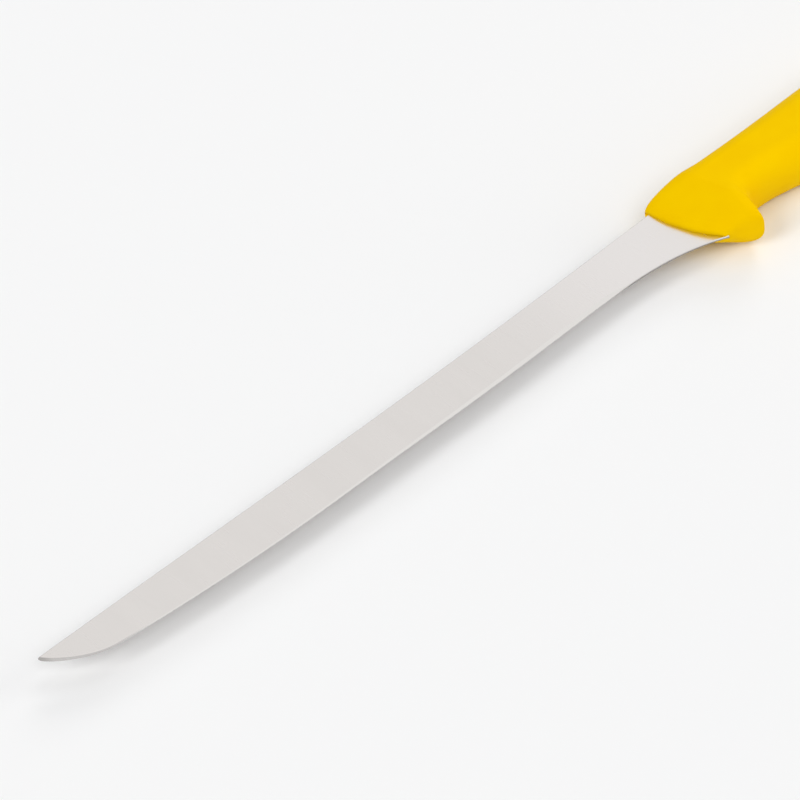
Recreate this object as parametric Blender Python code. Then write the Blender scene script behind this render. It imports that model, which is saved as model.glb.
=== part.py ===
# Ham knife: a long narrow slicing blade whose hidden tang is held in a handle moulded in two shots.
# It lies on its side, as it would on a worktop: tip towards -X, butt towards +X,
# cutting edge towards -Y and spine towards +Y. Metres, +Z up.
# Outlines are drawn in the knife's own plane: x = 0 where the spine enters the handle,
# y = 0 along the spine there, z = 0 in the middle of the blade's thickness.
import math

import bpy
import numpy as np

# Blade, ground on both faces from one stamped blank
blade_length = 0.2402  # point to handle, along the spine
blade_width = 0.01675  # spine to edge over the straight part
stock_thickness = 0.0020  # the blank, also the tang
point_thickness = 0.0009  # the spine, ground thinner at the point
ground_thickness = 0.00045  # just behind the edge, halfway along
spine_wave = 0.0010  # how far the spine dips below its chord
spine_wave_length = 0.180  # handle to where the dip ends and the point starts to lift
edge_belly = 0.0006  # slow bulge of the edge
belly_at = 0.080  # its middle, from the handle
belly_reach = 0.060  # to either side
taper_start = 0.138  # from the handle to where the blade starts to narrow
taper_depth = 0.0074  # what the width loses by the point
point_reach = 0.0188  # length of the rounded point
point_power = 0.80  # above 0.5 draws the rounded point out
point_height = 0.0003  # blunt height at the very point
bevel_angle = math.radians(15.5)  # of each side of the sharpened edge
edge_land = 0.00003  # thickness left at the edge
flare_start = 0.055  # the edge starts to drop this far before the handle
flare_depth = 0.0044  # its drop where the spine enters the handle
flare_power = 4
plain_start = 0.022  # the heel isn't sharpened from here to the handle
plain_fade = 0.012  # length over which the bevel dies out

# Tang, hidden in the handle
ground_to = 0.008  # the faces are ground this far into the handle, and keep the full stock behind
heel_inside = 0.0092  # full width of the heel kept inside the guard
spine_inside = 0.006  # full height of the spine kept inside the nose
shoulder_run = 0.003  # length of each step down to the tang
tang_width = 0.012
tang_length = 0.104  # measured from where the spine enters the handle
tang_front_y = -0.0093  # middle of the tang at its shoulder
tang_rear_y = -0.0123  # middle of the tang at its end
tang_end_reach = 0.006
tang_hole_radius = 0.003
tang_hole_count = 3
tang_first_hole = 0.031
tang_hole_pitch = 0.029

# Grip, the coloured second shot
grip_length = 0.132
grip_thickness = 0.0184
grip_panel = 0.30  # flat share of each side, across the grip
grip_power = 2.28  # roundness of the section beside the flats
nose_back_power = 5.0  # the nose is squarer, and loses that towards the finger recess
nose_belly_power = 3.6
nose_arc_radius = 0.040  # the front edge as seen on the blade
nose_arc_y = 0.0004  # where that arc bulges most
nose_start = 0.0001  # from where the spine enters the handle to the nose
nose_arc_fade = 0.040  # the sections are straight again this far back
nose_half_thickness = 0.0028
nose_rounding = 0.00225  # the front rounds down to the blade over this length
nose_drop = 0.00135  # and by this height
nose_cover = 0.00215  # plastic over the spine at the nose
shoulder_at = 0.0130  # the nose's highest point
shoulder_curve = 4.5  # the back rises quickly at first
shoulder_rise = 0.00278
full_at = 0.0159  # the grip has its full thickness from here
full_curve = 1.35  # the sides rise almost evenly
neck_at = 0.0240  # the finger recess behind the guard
neck_rise = 0.0023
neck_drop = 0.0191  # below the spine line, as are the drops that follow
guard_at = 0.0085
guard_drop = 0.0298
palm_at = 0.078
palm_rise = 0.0034
palm_drop = 0.0278
waist_from_butt = 0.024
waist_drop = 0.0265
hook_from_butt = 0.008
hook_drop = 0.0303
butt_fall = 0.0040  # the back curves down to the butt by this much
butt_reach = 0.008  # length of the rounded butt
butt_power = 2.5

# Core, the first shot around the tang
core_start = 0.014
core_from_butt = 0.012
core_wall = 0.0036  # of the grip around the core
core_power = 2.4

clearance = 0.0003  # between pieces that touch
slot_ahead = 0.0010  # the slot is cut from this far in front of the nose

grip_around = 10  # facets in a quarter of the grip's section
core_around = 6
hole_facets = 24

grip_yellow = (0.913, 0.597, 0.001, 1.0)
core_grey = (0.20, 0.20, 0.20, 1.0)
steel_grey = (0.72, 0.70, 0.69, 1.0)


def smooth(points, x):
    """Cubic curve through (x, value) points, level at each high or low one, so that it never overshoots."""
    known = np.asarray(points, float)
    at, value = known[:, 0], known[:, 1]
    step = np.diff(at)
    rate = np.diff(value) / step
    before, after = rate[:-1], rate[1:]
    same_way = before * after > 0
    slope = np.zeros_like(value)
    slope[0], slope[-1] = rate[0], rate[-1]
    slope[1:-1][same_way] = 2 * (before * after)[same_way] / (before + after)[same_way]
    x = np.clip(x, at[0], at[-1])
    k = np.clip(np.searchsorted(at, x, side="right") - 1, 0, len(at) - 2)
    u = (x - at[k]) / step[k]
    left = (2 * u**3 - 3 * u**2 + 1) * value[k] + (u**3 - 2 * u**2 + u) * step[k] * slope[k]
    right = (3 * u**2 - 2 * u**3) * value[k + 1] + (u**3 - u**2) * step[k] * slope[k + 1]
    return left + right


def ramp(x, start, end):
    """0 before start, 1 after end, an S-curve between."""
    u = np.clip((x - start) / (end - start), 0.0, 1.0)
    return u * u * (3 - 2 * u)


def mix(a, b, share):
    return a + (b - a) * share


# Blade and tang outline

def tang_middle(x):
    return mix(tang_front_y, tang_rear_y, np.clip((x - heel_inside) / (tang_length - heel_inside), 0, 1))


def tang_half_width(x):
    """Half the tang's width, with a round end."""
    past = np.clip((x - (tang_length - tang_end_reach)) / tang_end_reach, 0, 0.995)
    return tang_width / 2 * np.sqrt(1 - past**2)


def blade_top(x):
    spine = spine_wave * np.sin(math.pi * np.minimum(x, 0) / spine_wave_length)
    return mix(spine, tang_middle(x) + tang_half_width(x), ramp(x, spine_inside, spine_inside + shoulder_run))


def blade_low(x):
    """Edge with a slow bulge, narrowing to a rounded point in front and dropping at the heel."""
    narrowing = np.clip((-x - taper_start) / (blade_length - taper_start), 0, 1)
    rounding = np.clip((blade_length + x) / point_reach, 0, 1)
    width = (blade_width - taper_depth * narrowing**2) * (1 - (1 - rounding) ** 2) ** point_power
    bulge = np.cos(math.pi / 2 * np.clip((x + belly_at) / belly_reach, -1, 1)) ** 2
    flare = flare_depth * np.maximum(1 + x / flare_start, 0) ** flare_power
    edge = np.minimum(-width - edge_belly * bulge - flare, blade_top(x) - point_height)
    return mix(edge, tang_middle(x) - tang_half_width(x), ramp(x, heel_inside, heel_inside + shoulder_run))


def blade_half_thickness(x, y):
    """One flat ground plane, which rises to the full stock inside the handle."""
    middle = (stock_thickness + point_thickness) / 4
    along = (stock_thickness - point_thickness) / 2 / blade_length
    across = (middle - ground_thickness / 2) / blade_width
    plane = stock_thickness / 2 + along * x + across * y
    return mix(plane, stock_thickness / 2, ramp(x, ground_to, heel_inside + shoulder_run))


def blade_sections(x):
    """Six corners at each x: spine, top of the bevel and edge, on the upper face and then the lower."""
    top, low = blade_top(x), blade_low(x)
    face_top, face_low = blade_half_thickness(x, top), blade_half_thickness(x, low)
    plain = ramp(x, -plain_start - plain_fade, -plain_start)
    edge = mix(edge_land / 2, face_low, plain)
    slope = (face_top - face_low) / (top - low)
    steep = math.tan(bevel_angle)
    bevel = np.clip((face_low - edge) / (steep - slope), 0.02 * (top - low), 0.96 * (top - low))
    face_bevel = np.minimum(face_low + slope * bevel, edge + steep * bevel + plain * stock_thickness)
    face_top = np.minimum(face_top, edge + steep * (top - low) + plain * stock_thickness)
    y = np.stack([top, low + bevel, low, low, low + bevel, top], axis=1)
    z = np.stack([face_top, face_bevel, edge, -edge, -face_bevel, -face_top], axis=1)
    return np.stack([np.repeat(x[:, None], 6, axis=1), y, z], axis=-1)


def root_sections(x, gap):
    """The blade's root and tang grown by a gap on every side, as a cutter."""
    top, low = blade_top(x), blade_low(x)
    face_top, face_low = blade_half_thickness(x, top) + gap, blade_half_thickness(x, low) + gap
    y = np.stack([top + gap, low - gap, low - gap, top + gap], axis=1)
    z = np.stack([face_top, face_low, -face_low, -face_top], axis=1)
    return np.stack([np.repeat(x[:, None], 4, axis=1), y, z], axis=-1)


# Handle outline: s runs from the nose to the butt

def rising(start, end, length, curve):
    """Points of an outline from start to end, evenly for a curve of 1, quicker at first above it."""
    return [(u * length, mix(start, end, 1 - (1 - u) ** curve)) for u in np.linspace(0, 1, 8)]


grip_back = rising(nose_cover, shoulder_rise, shoulder_at, shoulder_curve) + [
    (neck_at, mix(shoulder_rise, neck_rise, 0.7)),
    (1.4 * neck_at, neck_rise),
    (palm_at, palm_rise),
    (grip_length - 1.3 * waist_from_butt, mix(palm_rise, -butt_fall, 0.1)),
    (grip_length - hook_from_butt, mix(palm_rise, -butt_fall, 0.65)),
    (grip_length, -butt_fall),
]
grip_belly = [
    (0.0, -mix(neck_drop, guard_drop, 0.50)),
    (0.4 * guard_at, -mix(neck_drop, guard_drop, 0.59)),
    (guard_at, -guard_drop),
    (guard_at + 0.3 * (neck_at - guard_at), -mix(neck_drop, guard_drop, 0.78)),
    (guard_at + 0.5 * (neck_at - guard_at), -mix(neck_drop, guard_drop, 0.52)),
    (guard_at + 0.7 * (neck_at - guard_at), -mix(neck_drop, guard_drop, 0.17)),
    (neck_at, -neck_drop),
    (1.35 * neck_at, -mix(neck_drop, palm_drop, 0.03)),
    (0.7 * palm_at, -mix(neck_drop, palm_drop, 0.56)),
    (palm_at, -palm_drop),
    (grip_length - waist_from_butt, -waist_drop),
    (grip_length - hook_from_butt, -hook_drop),
    (grip_length, -mix(waist_drop, hook_drop, 0.7)),
]
grip_half_thickness = rising(nose_half_thickness, grip_thickness / 2, full_at, full_curve)
grip_half_thickness.append((grip_length, grip_thickness / 2))


def quarter_steps(count):
    return np.linspace(0, math.pi / 2, count + 1)


def rounded_sections(panel, back_power, belly_power, count):
    """Unit outlines, one for each pair of powers: a flat on each side, and a rounded back and belly."""
    turn = quarter_steps(count)[None, :]
    to_back, to_belly = 2 / back_power[:, None], 2 / belly_power[:, None]
    back_y = panel + (1 - panel) * np.cos(turn) ** to_back
    belly_y = -panel - (1 - panel) * np.cos(turn) ** to_belly
    y = np.concatenate([back_y, belly_y[:, ::-1]], axis=1)
    z = np.concatenate([np.sin(turn) ** to_back, np.sin(turn[:, ::-1]) ** to_belly], axis=1)
    return np.concatenate([y, y[:, -2:0:-1]], axis=1), np.concatenate([z, -z[:, -2:0:-1]], axis=1)


def grip_stations():
    nose = nose_rounding * (1 - np.cos(quarter_steps(4)[:-1]))
    guard = np.linspace(nose_rounding, 1.25 * neck_at, 20)[:-1]
    palm = np.linspace(1.25 * neck_at, grip_length - butt_reach, 16)[:-1]
    butt = grip_length - butt_reach + butt_reach * np.sin(quarter_steps(6))
    return np.concatenate([nose, guard, palm, butt])


def grip_sections():
    """Rounded sections along s, bent so that the nose meets the blade on an arc."""
    s = grip_stations()
    high, low, thick = smooth(grip_back, s), smooth(grip_belly, s), smooth(grip_half_thickness, s)
    left = 1 - np.sqrt(1 - np.clip(1 - s / nose_rounding, 0, 1) ** 2)
    past = np.clip((s - (grip_length - butt_reach)) / butt_reach, 0, 1)
    shrink = np.maximum(1 - past**butt_power, 0.004) ** (1 / butt_power)
    depth = ((high - low) / 2 - 0.15 * nose_rounding * left) * shrink
    thick = (thick - nose_drop * left) * shrink
    back_power = mix(nose_back_power, grip_power, ramp(s, 0, neck_at))
    belly_power = mix(nose_belly_power, grip_power, ramp(s, 0, neck_at))
    unit_y, unit_z = rounded_sections(grip_panel, back_power, belly_power, grip_around)
    y = ((high + low) / 2)[:, None] + depth[:, None] * unit_y
    z = thick[:, None] * unit_z
    across = np.minimum(np.abs(y - nose_arc_y), 0.95 * nose_arc_radius)
    arc = nose_arc_radius - np.sqrt(nose_arc_radius**2 - across**2)
    fade = np.clip(1 - s / nose_arc_fade, 0, 1)
    x = s[:, None] + nose_start + fade[:, None] * arc
    return np.stack([x, y, z], axis=-1)


def core_sections(gap):
    """The grip's own outline drawn in by its wall, with the guard left out, grown by a gap."""
    s = np.linspace(core_start, grip_length - core_from_butt, 15)
    s[0] -= gap
    s[-1] += gap
    high = smooth(grip_back, s) - core_wall
    low = smooth(grip_belly, np.maximum(s, neck_at)) + core_wall
    depth = (high - low) / 2 + gap
    thick = grip_thickness / 2 - core_wall + gap
    power = np.full(len(s), core_power)
    unit_y, unit_z = rounded_sections(grip_panel, power, power, core_around)
    y = ((high + low) / 2)[:, None] + depth[:, None] * unit_y
    z = thick * unit_z
    x = np.broadcast_to(s[:, None] + nose_start, y.shape)
    return np.stack([x, y, z], axis=-1)


# Making the solids

def loft(name, sections):
    """Joins rings of points into a closed skin, with each end closed by a fan to its middle."""
    rings, around = sections.shape[:2]
    first, last = sections[0].mean(axis=0), sections[-1].mean(axis=0)
    points = np.concatenate([sections.reshape(-1, 3), [first, last]])
    faces = []
    for i in range(rings - 1):
        for j in range(around):
            k = (j + 1) % around
            faces.append((i * around + j, i * around + k, (i + 1) * around + k, (i + 1) * around + j))
    front, rear = rings * around, rings * around + 1
    last_ring = (rings - 1) * around
    for j in range(around):
        k = (j + 1) % around
        faces.append((front, k, j))
        faces.append((rear, last_ring + j, last_ring + k))
    mesh = bpy.data.meshes.new(name)
    mesh.from_pydata([tuple(p) for p in points], [], faces)
    mesh.update()
    return bpy.data.objects.new(name, mesh)


def cylinder(name, x, y, radius, height):
    bpy.ops.mesh.primitive_cylinder_add(vertices=hole_facets, radius=radius, depth=height, location=(x, y, 0))
    made = bpy.context.active_object
    made.name = name
    for holder in list(made.users_collection):
        holder.objects.unlink(made)
    return made


def cut(piece, cutter):
    step = piece.modifiers.new("cut " + cutter.name, "BOOLEAN")
    step.operation = "DIFFERENCE"
    step.solver = "EXACT"
    step.object = cutter


def hide_cutter(cutter, folder, parent):
    folder.objects.link(cutter)
    cutter.parent = parent
    cutter.hide_render = True
    cutter.display_type = "WIRE"


def finish(piece, folder, parent, colour, roughness, metallic):
    folder.objects.link(piece)
    piece.parent = parent
    material = bpy.data.materials.new(piece.name)
    material.use_nodes = True
    shader = material.node_tree.nodes["Principled BSDF"]
    shader.inputs["Base Color"].default_value = colour
    shader.inputs["Roughness"].default_value = roughness
    shader.inputs["Metallic"].default_value = metallic
    piece.data.materials.append(material)
    piece.data.shade_smooth()
    piece.data.set_sharp_from_angle(angle=math.radians(30))


def hole_places():
    x = tang_first_hole + tang_hole_pitch * np.arange(tang_hole_count)
    return [(float(a), float(tang_middle(a))) for a in x]


def blade_stations():
    point = -blade_length + point_reach * (1 - np.cos(quarter_steps(9)))
    middle = np.linspace(point_reach - blade_length, -plain_start - plain_fade, 18)[1:]
    heel = np.linspace(-plain_start - plain_fade, spine_inside, 15)[1:]
    return np.concatenate([point, middle, heel, root_stations()[1:]])


def root_stations():
    """From inside the nose to the end of the tang, with more steps at its shoulders and its round end."""
    shoulders = np.linspace(spine_inside, heel_inside + shoulder_run, 13)
    shank = np.linspace(heel_inside + shoulder_run, tang_length - tang_end_reach, 4)[1:]
    end = tang_length - tang_end_reach + tang_end_reach * np.sin(quarter_steps(5)[1:])
    return np.concatenate([shoulders, shank, end])


def build():
    for old in list(bpy.data.objects):
        bpy.data.objects.remove(old, do_unlink=True)
    knife = bpy.data.collections.new("ham_knife")
    cutters = bpy.data.collections.new("cutters")
    bpy.context.scene.collection.children.link(knife)
    bpy.context.scene.collection.children.link(cutters)

    # The part's origin is on the surface it lies on, under the middle of its box
    blade_rings, grip_rings = blade_sections(blade_stations()), grip_sections()
    every = np.concatenate([blade_rings.reshape(-1, 3), grip_rings.reshape(-1, 3)])
    middle = (every.min(axis=0) + every.max(axis=0)) / 2
    place = bpy.data.objects.new("knife_plane", None)
    place.location = (-middle[0], -middle[1], -every[:, 2].min())
    knife.objects.link(place)

    # Cutters: the blade's root with its clearance, and the core with its clearance
    root_x = np.concatenate([np.linspace(nose_start - slot_ahead, spine_inside, 7)[:-1], root_stations()])
    root_x[-1] += clearance
    slot = loft("root_slot", root_sections(root_x, clearance))
    pocket = loft("tang_pocket", root_sections(root_x, clearance))
    core_space = loft("core_space", core_sections(clearance))
    for cutter in (slot, pocket, core_space):
        hide_cutter(cutter, cutters, place)

    blade = loft("blade", blade_rings)
    core = loft("handle_core", core_sections(0.0))
    grip = loft("handle_grip", grip_rings)

    # Holes in the tang, and the plugs of the core that fill them
    for number, (x, y) in enumerate(hole_places(), start=1):
        hole = cylinder(f"hole_{number}", x, y, tang_hole_radius, 4 * stock_thickness)
        plug = cylinder(f"plug_{number}", x, y, tang_hole_radius - clearance, 4 * stock_thickness)
        for cutter in (hole, plug):
            hide_cutter(cutter, cutters, place)
        cut(blade, hole)
        cut(pocket, plug)

    cut(core, pocket)
    cut(grip, core_space)
    cut(grip, slot)

    finish(blade, knife, place, steel_grey, 0.32, 1.0)
    finish(core, knife, place, core_grey, 0.6, 0.0)
    finish(grip, knife, place, grip_yellow, 0.45, 0.0)
    bpy.context.view_layer.update()


build()
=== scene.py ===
import math

import bpy
import numpy as np
from mathutils import Matrix, Vector


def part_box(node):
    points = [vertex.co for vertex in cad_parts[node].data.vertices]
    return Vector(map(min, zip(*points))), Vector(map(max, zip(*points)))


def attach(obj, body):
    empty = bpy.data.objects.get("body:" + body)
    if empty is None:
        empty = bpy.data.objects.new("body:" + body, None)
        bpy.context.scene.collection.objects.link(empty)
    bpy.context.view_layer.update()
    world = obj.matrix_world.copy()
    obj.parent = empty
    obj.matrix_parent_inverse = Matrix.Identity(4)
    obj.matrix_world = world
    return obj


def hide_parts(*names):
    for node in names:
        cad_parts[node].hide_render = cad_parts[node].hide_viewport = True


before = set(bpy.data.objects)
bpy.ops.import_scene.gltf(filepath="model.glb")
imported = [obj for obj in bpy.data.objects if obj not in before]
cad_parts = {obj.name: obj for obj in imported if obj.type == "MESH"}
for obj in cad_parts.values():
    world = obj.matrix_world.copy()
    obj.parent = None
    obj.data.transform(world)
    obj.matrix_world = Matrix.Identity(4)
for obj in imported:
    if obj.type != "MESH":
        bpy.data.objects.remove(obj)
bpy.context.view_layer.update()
print("frame loaded:", sorted(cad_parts))

# The knife is drawn in millimetres in its own plane: x = 0 where the spine enters the handle, y = 0 on
# the spine there, z = 0 in the middle of the blade. The frame's boxes place that plane in the world.
mm = 0.001
knifePlane = {
    "pointX": -240.2,     # the blade's point
    "backY": 3.4,         # the highest line of the handle's back
}
bladeBoxLow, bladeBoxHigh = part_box("blade")
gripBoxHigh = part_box("handle_grip")[1]
planeOrigin = np.array([
    bladeBoxLow.x - knifePlane["pointX"] * mm,
    gripBoxHigh.y - knifePlane["backY"] * mm,
    (bladeBoxLow.z + bladeBoxHigh.z) / 2,
])


def toWorld(points):  # millimetres in the knife's plane to metres in the world
    return np.asarray(points, float) * mm + planeOrigin


# Shapes

def ramp(x, start, end):  # 0 before start, 1 after end, S-curve between
    u = np.clip((x - start) / (end - start), 0.0, 1.0)
    return u * u * (3 - 2 * u)


def blendTo(a, b, share):  # a at share 0, b at share 1
    return a + (b - a) * share


def throughPoints(points, x):
    # Cubic through (x, value) points, level at each high or low one, so that it never overshoots
    known = np.asarray(points, float)
    at, value = known[:, 0], known[:, 1]
    step = np.diff(at)
    rate = np.diff(value) / step
    before, after = rate[:-1], rate[1:]
    sameWay = before * after > 0
    slope = np.zeros_like(value)
    slope[0], slope[-1] = rate[0], rate[-1]
    slope[1:-1][sameWay] = 2 * (before * after)[sameWay] / (before + after)[sameWay]
    x = np.clip(x, at[0], at[-1])
    k = np.clip(np.searchsorted(at, x, side="right") - 1, 0, len(at) - 2)
    u = (x - at[k]) / step[k]
    left = (2 * u**3 - 3 * u**2 + 1) * value[k] + (u**3 - 2 * u**2 + u) * step[k] * slope[k]
    right = (3 * u**2 - 2 * u**3) * value[k + 1] + (u**3 - u**2) * step[k] * slope[k + 1]
    return left + right


def softened(points, x, reach=1.2, samples=9, leastWeight=0.05):
    # The same curve averaged over a short reach to each side, which evens out its bends
    offsets = np.linspace(-reach, reach, samples)
    weights = np.cos(offsets / reach * math.pi / 2) + leastWeight
    rows = [w * throughPoints(points, x + o) for o, w in zip(offsets, weights)]
    return np.sum(rows, axis=0) / weights.sum()


def closedSkin(name, rings):
    # Quads between neighbouring rings of points, each end closed by a fan to its middle
    count, around = rings.shape[:2]
    points = np.concatenate([rings.reshape(-1, 3), rings[:1].mean(axis=1), rings[-1:].mean(axis=1)])
    ring, spot = np.meshgrid(np.arange(count - 1), np.arange(around), indexing="ij")
    after = (spot + 1) % around
    quads = np.stack([ring * around + spot, ring * around + after, (ring + 1) * around + after,
                      (ring + 1) * around + spot], axis=-1).reshape(-1, 4)
    spot = np.arange(around)
    after = (spot + 1) % around
    lastRing = (count - 1) * around
    front = np.stack([np.full(around, count * around), after, spot], axis=-1)
    rear = np.stack([np.full(around, count * around + 1), lastRing + spot, lastRing + after], axis=-1)
    mesh = bpy.data.meshes.new(name)
    mesh.from_pydata(toWorld(points).tolist(), [], quads.tolist() + front.tolist() + rear.tolist())
    mesh.update()
    piece = bpy.data.objects.new(name, mesh)
    bpy.context.scene.collection.objects.link(piece)
    return piece


def quarterTurn(steps):
    return np.linspace(0, math.pi / 2, steps + 1)


# Blade: stamped from stainless sheet, ground flat on both faces, then sharpened with a narrow bevel
blade = {
    "length": 240.2,          # point to handle
    "width": 16.75,           # spine to edge over the straight part
    "stock": 2.0,             # thickness of the sheet
    "pointThickness": 0.9,    # of the spine at the point
    "groundThickness": 0.45,  # just behind the edge, halfway along
    "spineWave": 1.0,         # dip of the spine below its chord
    "spineWaveLength": 180.0,
    "edgeBelly": 0.6,         # slow bulge of the edge
    "bellyAt": 80.0,          # its middle, from the handle
    "bellyReach": 60.0,       # to either side
    "taperStart": 138.0,      # from the handle to where the width starts to shrink
    "taperDepth": 7.4,
    "pointReach": 18.8,       # length of the rounded point
    "pointPower": 0.80,       # above 0.5 draws the point out
    "pointHeight": 0.3,
    "bevelAngle": 15.5,       # degrees, of each side of the edge
    "edgeLand": 0.03,
    "flareStart": 55.0,       # the edge starts to drop this far before the handle
    "flareDepth": 4.4,        # its drop where the spine enters the handle
    "flarePower": 4,
    "plainStart": 22.0,       # the heel isn't sharpened from here to the handle
    "plainFade": 12.0,
    "cornerRadius": 0.12,     # broken edge of the spine and the heel
    "cornerMost": 0.45,       # share of the half thickness that a corner may take
    "bevelLeast": 0.02,       # shares of the height between which the bevel stays
    "bevelMost": 0.96,
    "creaseAngle": 12.5,      # degrees, above which an edge shows crisp
}
tang = {
    "groundTo": 8.0,          # the faces are ground this far into the handle
    "heelInside": 9.2,        # the heel keeps its full width to here
    "spineInside": 6.0,       # and the spine its full height
    "shoulderRun": 3.0,       # length of each step down to the tang
    "width": 12.0,
    "length": 104.0,          # from where the spine enters the handle
    "frontY": -9.3,           # its middle at the shoulder
    "rearY": -12.3,           # and at the end
    "endReach": 6.0,          # length of the rounded end
    "endMost": 0.995,         # just short of a full round, so that the end keeps some height
}


def tangMiddle(x):
    share = np.clip((x - tang["heelInside"]) / (tang["length"] - tang["heelInside"]), 0, 1)
    return blendTo(tang["frontY"], tang["rearY"], share)


def tangHalfWidth(x):  # with a round end
    past = np.clip((x - tang["length"] + tang["endReach"]) / tang["endReach"], 0, tang["endMost"])
    return tang["width"] / 2 * np.sqrt(1 - past**2)


def bladeTop(x):  # spine: half a sine wave's dip, then a step down to the tang
    spine = blade["spineWave"] * np.sin(math.pi * np.minimum(x, 0) / blade["spineWaveLength"])
    step = ramp(x, tang["spineInside"], tang["spineInside"] + tang["shoulderRun"])
    return blendTo(spine, tangMiddle(x) + tangHalfWidth(x), step)


def bladeEdge(x):
    # Straight but for a slow bulge, narrowing with the square of the length, rounded at the point, and
    # dropping at the heel with the fourth power
    narrowing = np.clip((-x - blade["taperStart"]) / (blade["length"] - blade["taperStart"]), 0, 1)
    rounding = np.clip((blade["length"] + x) / blade["pointReach"], 0, 1)
    width = blade["width"] - blade["taperDepth"] * narrowing**2
    width = width * (1 - (1 - rounding) ** 2) ** blade["pointPower"]
    bulge = np.cos(math.pi / 2 * np.clip((x + blade["bellyAt"]) / blade["bellyReach"], -1, 1)) ** 2
    flare = blade["flareDepth"] * np.maximum(1 + x / blade["flareStart"], 0) ** blade["flarePower"]
    edge = np.minimum(-width - blade["edgeBelly"] * bulge - flare, bladeTop(x) - blade["pointHeight"])
    step = ramp(x, tang["heelInside"], tang["heelInside"] + tang["shoulderRun"])
    return blendTo(edge, tangMiddle(x) - tangHalfWidth(x), step)


spineSteps, faceSteps, bevelSteps = 10, 18, 4         # quads from the spine's middle to the edge
pointSteps, middleSteps, heelSteps = 70, 120, 100     # along the blade
shoulderSteps, shankSteps, endSteps = 24, 24, 12      # along the tang


def groundPlane(x, y):  # half thickness: one slanting plane, rising to the sheet's own inside the handle
    middle = (blade["stock"] + blade["pointThickness"]) / 4
    along = (blade["stock"] - blade["pointThickness"]) / 2 / blade["length"]
    across = (middle - blade["groundThickness"] / 2) / blade["width"]
    plane = blade["stock"] / 2 + along * x + across * y
    inHandle = ramp(x, tang["groundTo"], tang["heelInside"] + tang["shoulderRun"])
    return blendTo(plane, blade["stock"] / 2, inHandle)


def bladeRings(x):
    # At each x: half the spine's flat, a quarter round, the ground face and the bevel, then their mirror.
    # Where plain is 1 the edge is left unsharpened, and the bevel shrinks to a broken corner
    top, low = bladeTop(x), bladeEdge(x)
    faceTop, faceLow = groundPlane(x, top), groundPlane(x, low)
    plain = ramp(x, -blade["plainStart"] - blade["plainFade"], -blade["plainStart"])
    steep = math.tan(math.radians(blade["bevelAngle"]))
    edge = blendTo(blade["edgeLand"] / 2, faceLow - blade["cornerRadius"], plain)
    slope = (faceTop - faceLow) / (top - low)
    bevel = blendTo((faceLow - edge) / (steep - slope), blade["cornerRadius"], plain)
    bevel = np.clip(bevel, blade["bevelLeast"] * (top - low), blade["bevelMost"] * (top - low))
    # At the point the spine comes so near to the edge that the bevel's slope limits the face too
    faceBevel = np.minimum(faceLow + slope * bevel, edge + steep * bevel + plain * blade["stock"])
    faceTop = np.minimum(faceTop, edge + steep * (top - low) + plain * blade["stock"])
    corner = np.minimum(blade["cornerRadius"], blade["cornerMost"] * faceTop)[:, None]
    top, low, bevel, edge, faceTop, faceBevel = (
        column[:, None] for column in (top, low, bevel, edge, faceTop, faceBevel))
    flat = np.array([0.0, 0.5])[None, :]
    turn = quarterTurn(spineSteps - 2)[None, :]
    across = np.linspace(0, 1, faceSteps + 1)[None, 1:]
    down = np.linspace(0, 1, bevelSteps + 1)[None, 1:]
    y = np.concatenate([
        top + 0 * flat,
        top - corner + corner * np.cos(turn),
        blendTo(top - corner, low + bevel, across),
        blendTo(low + bevel, low, down),
    ], axis=1)
    z = np.concatenate([
        (faceTop - corner) * flat,
        faceTop - corner + corner * np.sin(turn),
        blendTo(faceTop, faceBevel, across),
        blendTo(faceBevel, edge, down),
    ], axis=1)
    y = np.concatenate([y, y[:, :0:-1]], axis=1)
    z = np.concatenate([z, -z[:, :0:-1]], axis=1)
    return np.stack([np.broadcast_to(x[:, None], y.shape), y, z], axis=-1)


def bladeStations():
    pointEnd = blade["pointReach"] - blade["length"]
    point = -blade["length"] + blade["pointReach"] * (1 - np.cos(quarterTurn(pointSteps)))
    middle = np.linspace(pointEnd, -blade["plainStart"], middleSteps + 1)[1:]
    heel = np.linspace(-blade["plainStart"], tang["spineInside"], heelSteps + 1)[1:]
    return np.concatenate([point, middle, heel, tangStations()[1:]])


def tangStations():
    shoulderEnd = tang["heelInside"] + tang["shoulderRun"]
    shankEnd = tang["length"] - tang["endReach"]
    shoulders = np.linspace(tang["spineInside"], shoulderEnd, shoulderSteps + 1)
    shank = np.linspace(shoulderEnd, shankEnd, shankSteps + 1)[1:]
    end = shankEnd + tang["endReach"] * np.sin(quarterTurn(endSteps)[1:])
    return np.concatenate([shoulders, shank, end])


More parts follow.
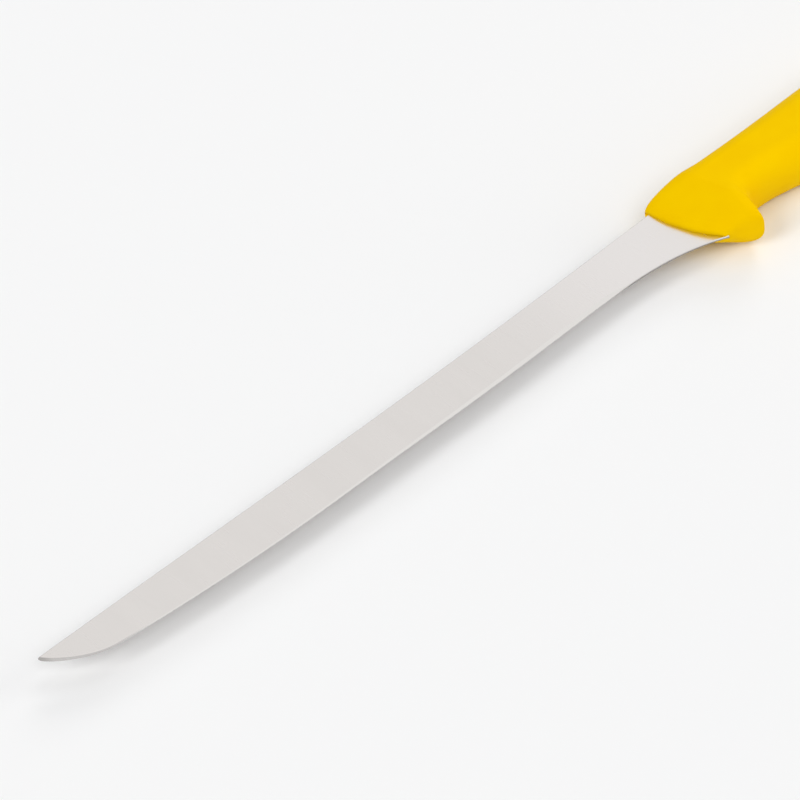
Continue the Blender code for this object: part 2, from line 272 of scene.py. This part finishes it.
# Grip: the coloured shot, moulded over the core and shrunk tight on the steel
grip = {
    "length": 132.0,
    "thickness": 18.4,
    "panel": 0.30,            # flat share of each side
    "power": 2.28,            # roundness beside the flats
    "noseBackPower": 5.0,     # the front is squarer, and loses that towards the finger recess
    "noseBellyPower": 3.6,
    "noseArcRadius": 40.0,    # the front edge as it shows on the blade
    "noseArcY": 0.4,          # where that edge bulges most
    "noseArcMost": 0.95,      # of the radius, beyond which the edge runs straight back
    "noseArcFade": 40.0,      # the sections are straight again from here
    "noseAhead": -0.1,        # its foremost point, before the spine's entry
    "noseHalfThickness": 2.8,
    "noseRounding": 2.25,     # the front rounds down to the blade over this length
    "noseDrop": 1.35,         # and by this height
    "noseDrawnIn": 0.15,      # share of the rounding that its back and belly lose
    "noseCover": 2.15,        # the back's height there, over the spine
    "lipUndercut": 0.5,       # how far the front curves back towards the blade's middle
    "lipClosed": 0.8,         # share of the nose's thickness that the front face closes
    "shoulderAt": 13.0,       # millimetres from the nose, as each place below
    "shoulderCurve": 4.5,     # the back rises quickly at first
    "shoulderRise": 2.78,
    "fullAt": 15.9,           # full thickness from here
    "fullCurve": 1.35,        # the sides rise almost evenly
    "neckAt": 24.0,           # finger recess
    "neckRise": 2.3,          # a rise is the back's height over the spine's line
    "neckDrop": 19.1,         # a drop is the belly's depth under it
    "neckShare": 0.7,         # of the shoulder's fall, done at the recess
    "neckBackTo": 1.4,        # the back is level to this many times neckAt
    "guardAt": 8.5,
    "guardDrop": 29.8,
    "guardFront": ((0.0, 0.50), (0.4, 0.59)),     # shares of the way to the guard and of its drop
    "guardRear": ((0.3, 0.78), (0.5, 0.52), (0.7, 0.17)),     # the same from the guard to the recess
    "palmAt": 78.0,
    "palmRise": 3.4,
    "palmDrop": 27.8,
    "palmStart": (1.35, 0.03),        # times neckAt, and share of the palm's drop
    "palmMiddle": (0.7, 0.56),        # times palmAt, and share of the palm's drop
    "waistFromButt": 24.0,
    "waistDrop": 26.5,
    "waistBack": (1.3, 0.1),  # times waistFromButt, and share of the back's fall
    "hookFromButt": 8.0,
    "hookDrop": 30.3,
    "hookBack": 0.65,         # share of the back's fall
    "buttFall": 4.0,
    "buttBelly": 0.7,         # share of the way from the waist's drop to the hook's
    "buttReach": 8.0,         # length of the rounded end
    "buttPower": 2.5,
    "buttLeast": 0.004,       # raised to 1 / buttPower, the share of the section left at the end
    "creaseAngle": 40.0,      # degrees, above which an edge shows crisp
}
noseSteps, guardSteps, palmSteps, buttSteps = 14, 129, 129, 26     # along the grip
sectionSteps, lipSteps = 26, 10     # quads in a quarter of a section, and down the front face
palmStepsFrom = 1.25                # times neckAt, from where the rings stand wider apart


def rising(start, end, length, curve, points=8):
    # Points of an outline from start to end: evenly for a curve of 1, quicker at first for a higher one
    shares = np.linspace(0, 1, points)
    return [(u * length, blendTo(start, end, 1 - (1 - u) ** curve)) for u in shares]


def gripOutlines():  # of the back, the belly and the side, each as (place, height) points
    g = grip
    behind = g["neckAt"] - g["guardAt"]
    waistTimes, waistFall = g["waistBack"]

    def buttPoint(fromButt, share):
        return g["length"] - fromButt, blendTo(g["palmRise"], -g["buttFall"], share)

    back = rising(g["noseCover"], g["shoulderRise"], g["shoulderAt"], g["shoulderCurve"]) + [
        (g["neckAt"], blendTo(g["shoulderRise"], g["neckRise"], g["neckShare"])),
        (g["neckBackTo"] * g["neckAt"], g["neckRise"]),
        (g["palmAt"], g["palmRise"]),
        buttPoint(waistTimes * g["waistFromButt"], waistFall),
        buttPoint(g["hookFromButt"], g["hookBack"]),
        (g["length"], -g["buttFall"]),
    ]

    def guardPoints(start, run, shares):
        return [(start + u * run, -blendTo(g["neckDrop"], g["guardDrop"], v)) for u, v in shares]

    def palmPoint(place, times, share):
        return times * place, -blendTo(g["neckDrop"], g["palmDrop"], share)

    belly = [
        *guardPoints(0.0, g["guardAt"], g["guardFront"]),
        (g["guardAt"], -g["guardDrop"]),
        *guardPoints(g["guardAt"], behind, g["guardRear"]),
        (g["neckAt"], -g["neckDrop"]),
        palmPoint(g["neckAt"], *g["palmStart"]),
        palmPoint(g["palmAt"], *g["palmMiddle"]),
        (g["palmAt"], -g["palmDrop"]),
        (g["length"] - g["waistFromButt"], -g["waistDrop"]),
        (g["length"] - g["hookFromButt"], -g["hookDrop"]),
        (g["length"], -blendTo(g["waistDrop"], g["hookDrop"], g["buttBelly"])),
    ]
    full = g["thickness"] / 2
    side = rising(g["noseHalfThickness"], full, g["fullAt"], g["fullCurve"]) + [(g["length"], full)]
    return back, belly, side


def roundedSections(panel, backPower, bellyPower):
    # A unit outline for each ring: a flat on each side, joined by quarters of a circle whose sine and
    # cosine are raised to 2 / power, with one power towards the back and one towards the belly
    turn = quarterTurn(sectionSteps)[None, :]
    towardsBack, towardsBelly = 2 / backPower[:, None], 2 / bellyPower[:, None]
    backY = panel + (1 - panel) * np.cos(turn) ** towardsBack
    bellyY = -panel - (1 - panel) * np.cos(turn) ** towardsBelly
    y = np.concatenate([backY, bellyY[:, ::-1]], axis=1)
    z = np.concatenate([np.sin(turn) ** towardsBack, np.sin(turn[:, ::-1]) ** towardsBelly], axis=1)
    return np.concatenate([y, y[:, -2:0:-1]], axis=1), np.concatenate([z, -z[:, -2:0:-1]], axis=1)


def gripStations():
    palmFrom = palmStepsFrom * grip["neckAt"]
    buttFrom = grip["length"] - grip["buttReach"]
    nose = grip["noseRounding"] * (1 - np.cos(quarterTurn(noseSteps)[:-1]))
    guard = np.linspace(grip["noseRounding"], palmFrom, guardSteps + 1)[:-1]
    palm = np.linspace(palmFrom, buttFrom, palmSteps + 1)[:-1]
    butt = buttFrom + grip["buttReach"] * np.sin(quarterTurn(buttSteps))
    return np.concatenate([nose, guard, palm, butt])


def gripRings():
    # Rounded sections along s, bent so that the nose meets the blade on an arc
    g = grip
    s = gripStations()
    back, belly, side = gripOutlines()
    high, low, thick = softened(back, s), softened(belly, s), softened(side, s)
    nose = 1 - np.sqrt(1 - np.clip(1 - s / g["noseRounding"], 0, 1) ** 2)
    past = np.clip((s - g["length"] + g["buttReach"]) / g["buttReach"], 0, 1)
    shrink = np.maximum(1 - past ** g["buttPower"], g["buttLeast"]) ** (1 / g["buttPower"])
    depth = ((high - low) / 2 - g["noseDrawnIn"] * g["noseRounding"] * nose) * shrink
    thick = (thick - g["noseDrop"] * nose) * shrink
    toNeck = ramp(s, 0, g["neckAt"])
    backPower = blendTo(g["noseBackPower"], g["power"], toNeck)
    bellyPower = blendTo(g["noseBellyPower"], g["power"], toNeck)
    unitY, unitZ = roundedSections(g["panel"], backPower, bellyPower)
    y = ((high + low) / 2)[:, None] + depth[:, None] * unitY
    z = thick[:, None] * unitZ
    s = s[:, None] + 0 * y
    # The front face is the first ring drawn in to the blade, curving back under itself on a quarter of
    # an ellipse
    turn = quarterTurn(lipSteps)[:0:-1, None]
    y = np.concatenate([y[:1] + 0 * turn, y])
    z = np.concatenate([z[:1] * (1 - g["lipClosed"] * np.sin(turn)), z])
    s = np.concatenate([s[:1] + g["lipUndercut"] * (1 - np.cos(turn)), s])
    across = np.minimum(np.abs(y - g["noseArcY"]), g["noseArcMost"] * g["noseArcRadius"])
    arc = g["noseArcRadius"] - np.sqrt(g["noseArcRadius"] ** 2 - across**2)
    fade = np.clip(1 - s / g["noseArcFade"], 0, 1)
    return np.stack([s - g["noseAhead"] + fade * arc, y, z], axis=-1)


# Materials

def linear(hexColour):  # sRGB hex to the linear values that the shader takes
    parts = [int(hexColour[i:i + 2], 16) / 255 for i in (1, 3, 5)]
    return [p / 12.92 if p <= 0.04045 else ((p + 0.055) / 1.055) ** 2.4 for p in parts] + [1.0]


def addNode(tree, kind, settings=None, inputs=None):
    # A node with its settings; an input is a value, or another node's output. Inputs 6 and 7 are a mix
    # node's two colours
    node = tree.nodes.new(kind)
    for name, value in (settings or {}).items():
        setattr(node, name, value)
    for name, value in (inputs or {}).items():
        if isinstance(value, bpy.types.NodeSocket):
            tree.links.new(value, node.inputs[name])
        else:
            node.inputs[name].default_value = value
    return node


def newMaterial(name):
    material = bpy.data.materials.new(name)
    material.use_nodes = True
    material.node_tree.nodes.clear()
    return material, material.node_tree


def streaks(tree, size, detail=3.0):
    # Noise whose grains measure size, in millimetres along x, y and z: a long grain is a scratch
    place = addNode(tree, "ShaderNodeTexCoord")
    grain = addNode(tree, "ShaderNodeMapping", None, {
        "Vector": place.outputs["Object"],
        "Scale": [1 / (s * mm) for s in size],
    })
    noise = addNode(tree, "ShaderNodeTexNoise", None, {
        "Vector": grain.outputs[0],
        "Scale": 1.0,
        "Detail": detail,
        "Roughness": 0.6,
    })
    return noise.outputs["Fac"]


grainRange = {"From Min": 0.3, "From Max": 0.7}   # nearly all of the noise lies between these


def mottled(tree, noise, dark, pale):  # a colour that the noise takes from dark to pale
    share = addNode(tree, "ShaderNodeMapRange", None, {"Value": noise, **grainRange})
    colour = addNode(tree, "ShaderNodeMix", {"data_type": "RGBA"}, {
        "Factor": share.outputs[0],
        6: linear(dark),
        7: linear(pale),
    })
    return colour.outputs[2]


def towardsHandle(tree, start, end):  # 0 before start, 1 after end, in millimetres along the knife
    place = addNode(tree, "ShaderNodeTexCoord")
    parts = addNode(tree, "ShaderNodeSeparateXYZ", None, {"Vector": place.outputs["Object"]})
    share = addNode(tree, "ShaderNodeMapRange", {"interpolation_type": "SMOOTHSTEP"}, {
        "Value": parts.outputs["X"],
        "From Min": float(planeOrigin[0]) + start * mm,
        "From Max": float(planeOrigin[0]) + end * mm,
    })
    return share.outputs[0]


steel = {
    "faceDark": "#E2DEDB", "facePale": "#E4E0DD",
    "heelPaintedSheen": "#ECE8E6",    # paler towards the handle: a painted sheen, where the face catches more light
    "heelFrom": -80.0, "heelTo": -15.0,       # millimetres, from the handle
    "faceRoughLow": 0.22, "faceRoughHigh": 0.28,
    "grindPitch": 0.35,       # millimetres between the belt's scratches, twice the real pitch to show
    "grindRun": 14.0,         # their length, across the blade
    "grindDepth": 0.0006,
    "bandPitch": 7.0,         # slow bands left by the grinding passes
    "bandRun": 42.0,
    # Painted reflection: the bevel is coloured dark where it faces the dim sky near the point
    "bevelReflectionDark": "#C6C3C1", "bevelReflectionPale": "#D0CDCB",
    "pointDarkReflection": "#B2AFAD",  # painted dark reflection on the very point's facet
    "pointFrom": -240.0, "pointTo": -237.0,
    "bevelLitReflection": "#E8E5E2",   # painted paler reflection from the point's curve on towards the handle
    "bevelFrom": -226.0, "bevelTo": -206.0,
    "bevelRoughLow": 0.16, "bevelRoughHigh": 0.24,
    "honePitch": 0.12,        # finer scratches of the whetting wheel
    "shearedDark": "#8E8B89", "shearedPale": "#B4B1AF",
    "shearedRoughLow": 0.42, "shearedRoughHigh": 0.58,
    "shearPitch": 0.5,        # upright drag marks of the stamping tool
    "shearRun": 4.0,
    "shearDepth": 0.006,
}


def groundSteel():
    # Martensitic stainless steel, belt-ground to a satin: an even grey sheen, hair lines across it
    material, tree = newMaterial("beltGroundStainlessSteel")
    lines = streaks(tree, (steel["grindPitch"], steel["grindRun"], steel["grindRun"]), detail=4.0)
    bands = streaks(tree, (steel["bandPitch"], steel["bandRun"], steel["bandRun"]), detail=2.0)
    # Painted sheen: the face is coloured paler towards the handle, where it reflects more light
    colour = addNode(tree, "ShaderNodeMix", {"data_type": "RGBA"}, {
        "Factor": towardsHandle(tree, steel["heelFrom"], steel["heelTo"]),
        6: mottled(tree, bands, steel["faceDark"], steel["facePale"]),
        7: linear(steel["heelPaintedSheen"]),
    })
    rough = addNode(tree, "ShaderNodeMapRange", None, {
        "Value": lines,
        **grainRange,
        "To Min": steel["faceRoughLow"],
        "To Max": steel["faceRoughHigh"],
    })
    scratches = addNode(tree, "ShaderNodeBump", None, {
        "Height": lines,
        "Strength": 1.0,
        "Distance": steel["grindDepth"] * mm,
    })
    shader = addNode(tree, "ShaderNodeBsdfPrincipled", None, {
        "Base Color": colour.outputs[2],
        "Metallic": 1.0,
        "Roughness": rough.outputs[0],
        "Normal": scratches.outputs[0],
    })
    addNode(tree, "ShaderNodeOutputMaterial", None, {"Surface": shader.outputs[0]})
    return material


def whettedSteel():
    # The same steel, whetted on a fine wheel: a narrow glossy band along the edge. Its colours are
    # painted reflection: dark near the point, where the bevel faces the dim sky overhead, paler from
    # there on
    material, tree = newMaterial("whettedStainlessSteel")
    lines = streaks(tree, (steel["honePitch"], steel["grindRun"], steel["grindRun"]))
    # Painted dark reflection at the very point, then the bevel's painted reflection colours
    pointShaded = addNode(tree, "ShaderNodeMix", {"data_type": "RGBA"}, {
        "Factor": towardsHandle(tree, steel["pointFrom"], steel["pointTo"]),
        6: linear(steel["pointDarkReflection"]),
        7: mottled(tree, lines, steel["bevelReflectionDark"], steel["bevelReflectionPale"]),
    })
    colour = addNode(tree, "ShaderNodeMix", {"data_type": "RGBA"}, {
        "Factor": towardsHandle(tree, steel["bevelFrom"], steel["bevelTo"]),
        6: pointShaded.outputs[2],
        7: linear(steel["bevelLitReflection"]),
    })
    rough = addNode(tree, "ShaderNodeMapRange", None, {
        "Value": lines,
        **grainRange,
        "To Min": steel["bevelRoughLow"],
        "To Max": steel["bevelRoughHigh"],
    })
    shader = addNode(tree, "ShaderNodeBsdfPrincipled", None, {
        "Base Color": colour.outputs[2],
        "Metallic": 1.0,
        "Roughness": rough.outputs[0],
    })
    addNode(tree, "ShaderNodeOutputMaterial", None, {"Surface": shader.outputs[0]})
    return material


def shearedSteel():
    # The same steel where the blank was stamped out: dull, darker, with upright drag marks
    material, tree = newMaterial("stampedStainlessSteel")
    marks = streaks(tree, (steel["shearPitch"], steel["shearPitch"], steel["shearRun"]))
    rough = addNode(tree, "ShaderNodeMapRange", None, {
        "Value": marks,
        **grainRange,
        "To Min": steel["shearedRoughLow"],
        "To Max": steel["shearedRoughHigh"],
    })
    grooves = addNode(tree, "ShaderNodeBump", None, {
        "Height": marks,
        "Strength": 1.0,
        "Distance": steel["shearDepth"] * mm,
    })
    shader = addNode(tree, "ShaderNodeBsdfPrincipled", None, {
        "Base Color": mottled(tree, marks, steel["shearedDark"], steel["shearedPale"]),
        "Metallic": 1.0,
        "Roughness": rough.outputs[0],
        "Normal": grooves.outputs[0],
    })
    addNode(tree, "ShaderNodeOutputMaterial", None, {"Surface": shader.outputs[0]})
    return material


plastic = {
    "yellowDark": "#F6C600", "yellowPale": "#F8CA00",
    "gloss": "#FFC400",       # so deep a yellow that even its gloss holds no blue
    "glossLevel": 0.03,
    "roughLow": 0.5, "roughHigh": 0.6,
    "sparkPitch": 0.4,        # millimetres, pits left by spark erosion
    "sparkDepth": 0.012,
    "cloudPitch": 9.0,        # slow unevenness of the colour
    "coreDark": "#6E6E6E", "corePale": "#7C7C7C",
}


def sparkTexturedPlastic():
    # Polypropylene from a spark-eroded mould: matte, deep yellow, with a fine even grain
    material, tree = newMaterial("mouldedYellowPolypropylene")
    pits = streaks(tree, [plastic["sparkPitch"]] * 3, detail=2.0)
    clouds = streaks(tree, [plastic["cloudPitch"]] * 3, detail=1.0)
    rough = addNode(tree, "ShaderNodeMapRange", None, {
        "Value": pits,
        **grainRange,
        "To Min": plastic["roughLow"],
        "To Max": plastic["roughHigh"],
    })
    grain = addNode(tree, "ShaderNodeBump", None, {
        "Height": pits,
        "Strength": 1.0,
        "Distance": plastic["sparkDepth"] * mm,
    })
    shader = addNode(tree, "ShaderNodeBsdfPrincipled", None, {
        "Base Color": mottled(tree, clouds, plastic["yellowDark"], plastic["yellowPale"]),
        "Roughness": rough.outputs[0],
        "Specular IOR Level": plastic["glossLevel"],
        "Specular Tint": linear(plastic["gloss"]),
        "Normal": grain.outputs[0],
    })
    addNode(tree, "ShaderNodeOutputMaterial", None, {"Surface": shader.outputs[0]})
    return material


def corePlastic():
    # Polypropylene as moulded, grey and unpolished: the hidden first shot
    material, tree = newMaterial("mouldedGreyPolypropylene")
    clouds = streaks(tree, [plastic["cloudPitch"]] * 3, detail=2.0)
    rough = addNode(tree, "ShaderNodeMapRange", None, {
        "Value": clouds,
        **grainRange,
        "To Min": plastic["roughLow"],
        "To Max": plastic["roughHigh"],
    })
    shader = addNode(tree, "ShaderNodeBsdfPrincipled", None, {
        "Base Color": mottled(tree, clouds, plastic["coreDark"], plastic["corePale"]),
        "Roughness": rough.outputs[0],
    })
    addNode(tree, "ShaderNodeOutputMaterial", None, {"Surface": shader.outputs[0]})
    return material


def finishPiece(piece, material, node, creaseAngle):
    piece.data.materials.append(material)
    piece.data.shade_smooth()
    piece.data.set_sharp_from_angle(angle=math.radians(creaseAngle))
    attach(piece, "root")
    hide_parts(node)


faceZone, bevelZone, stampedZone = 0, 1, 2     # in the order of the blade's materials


def bladeZones(rings):  # the zone of each quad between two rings
    around = rings.shape[1]
    halfway = around // 2
    zone = np.full(around, faceZone)
    zone[:spineSteps] = stampedZone
    zone[halfway - bevelSteps:halfway] = bevelZone
    zone[halfway] = stampedZone
    zone[halfway + 1:halfway + 1 + bevelSteps] = bevelZone
    zone[around - spineSteps:] = stampedZone
    return np.tile(zone, rings.shape[0] - 1)


rings = bladeRings(bladeStations())
steelBlade = closedSkin("ground_blade", rings)
finishPiece(steelBlade, groundSteel(), "blade", blade["creaseAngle"])
steelBlade.data.materials.append(whettedSteel())
steelBlade.data.materials.append(shearedSteel())
zones = np.full(len(steelBlade.data.polygons), stampedZone)
sideZones = bladeZones(rings)
zones[:len(sideZones)] = sideZones
steelBlade.data.polygons.foreach_set("material_index", zones)
print("blade made:", len(steelBlade.data.polygons), "faces")

yellowGrip = closedSkin("moulded_grip", gripRings())
finishPiece(yellowGrip, sparkTexturedPlastic(), "handle_grip", grip["creaseAngle"])
print("grip made:", len(yellowGrip.data.polygons), "faces")

# The core keeps its own solid, hidden in the grip, and gets its finish
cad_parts["handle_core"].material_slots[0].material = corePlastic()

# Studio: pale sweep, even sky, large soft boxes beyond the point, edge, butt and back, and a low fill
studio = {
    "paper": "#F7F7F7",
    "skyLight": (0.2285, 0.2305, 0.2325),     # linear, with a trace of blue that the shadows keep
    # Each lamp: azimuth from +X towards +Y, elevation and width in degrees, and its share on the floor
    "lamps": {
        "pointBox": (180, 40, 30, 0.245),
        "frontBox": (248, 50, 30, 0.240),
        "buttBox": (0, 60, 30, 0.112),
        "backBox": (30, 32, 30, 0.112),
        "lowFill": (330, 16, 30, 0.062),
    },
    "floorHalf": 3.0,         # metres
}


def makeLamp(name, azimuth, elevation, width, level):
    data = bpy.data.lights.new(name, "SUN")
    lamp = bpy.data.objects.new(name, data)
    bpy.context.scene.collection.objects.link(lamp)
    a, e = math.radians(azimuth), math.radians(elevation)
    towards = Vector((math.cos(a) * math.cos(e), math.sin(a) * math.cos(e), math.sin(e)))
    lamp.rotation_euler = towards.to_track_quat("Z", "Y").to_euler()
    data.angle = math.radians(width)
    data.energy = level * math.pi / math.sin(e)
    lamp.visible_glossy = False     # the steel shows the white paper all round, as in a light tent


def makeWorld():
    # Even sky for the light; the camera, mirrors and glass see the paper's own white
    world = bpy.data.worlds.new("studioWorld")
    bpy.context.scene.world = world
    world.use_nodes = True
    tree = world.node_tree
    tree.nodes.clear()
    rays = addNode(tree, "ShaderNodeLightPath")
    seen = rays.outputs["Is Camera Ray"]
    for kind in ("Is Glossy Ray", "Is Transmission Ray"):
        either = addNode(tree, "ShaderNodeMath", {"operation": "MAXIMUM"}, {
            0: seen,
            1: rays.outputs[kind],
        })
        seen = either.outputs[0]
    light = addNode(tree, "ShaderNodeMix", {"data_type": "RGBA"}, {
        "Factor": seen,
        6: (*studio["skyLight"], 1.0),
        7: linear(studio["paper"]),
    })
    sky = addNode(tree, "ShaderNodeBackground", None, {"Color": light.outputs[2], "Strength": 1.0})
    addNode(tree, "ShaderNodeOutputWorld", None, {"Surface": sky.outputs[0]})


def makeFloor():
    half = studio["floorHalf"]
    mesh = bpy.data.meshes.new("floor")
    corners = [(-half, -half, 0), (half, -half, 0), (half, half, 0), (-half, half, 0)]
    mesh.from_pydata(corners, [], [(0, 1, 2, 3)])
    floor = bpy.data.objects.new("floor", mesh)
    bpy.context.scene.collection.objects.link(floor)
    material, tree = newMaterial("studioPaper")
    paint = addNode(tree, "ShaderNodeBsdfDiffuse", None, {"Color": linear(studio["paper"])})
    addNode(tree, "ShaderNodeOutputMaterial", None, {"Surface": paint.outputs[0]})
    mesh.materials.append(material)


makeWorld()
for name, lampValues in studio["lamps"].items():
    makeLamp(name, *lampValues)
makeFloor()
print("studio made")

# Camera as in the photograph: it looks down at the blade from beyond the edge side
camera = {
    "azimuth": -36.606,       # degrees
    "elevation": 44.400,
    "roll": 8.622,
    "distance": 1000.0,       # millimetres, to the aim point
    "aim": (-105.184, -1.174, 0.8),   # on the blade's upper face
    "focalPixels": 3417.55,
    "imagePixels": 800,
    "sensor": 36.0,           # millimetres
    "clip": (0.05, 50.0),     # metres
}


def makeCamera():
    a, e, r = (math.radians(camera[k]) for k in ("azimuth", "elevation", "roll"))
    back = np.array([math.sin(a) * math.cos(e), -math.cos(a) * math.cos(e), math.sin(e)])
    level = np.array([math.cos(a), math.sin(a), 0.0])
    upright = np.cross(back, level)
    right = math.cos(r) * level - math.sin(r) * upright
    up = math.sin(r) * level + math.cos(r) * upright
    place = toWorld(np.array(camera["aim"]) + back * camera["distance"])
    data = bpy.data.cameras.new("camera")
    data.sensor_width = camera["sensor"]
    data.lens = camera["focalPixels"] / camera["imagePixels"] * camera["sensor"]
    data.clip_start, data.clip_end = camera["clip"]
    maker = bpy.data.objects.new("camera", data)
    bpy.context.scene.collection.objects.link(maker)
    turn = np.eye(4)
    turn[:3] = np.column_stack([right, up, back, place])
    maker.matrix_world = Matrix(turn.tolist())
    bpy.context.scene.camera = maker


makeCamera()
bpy.context.scene.view_settings.view_transform = "Standard"
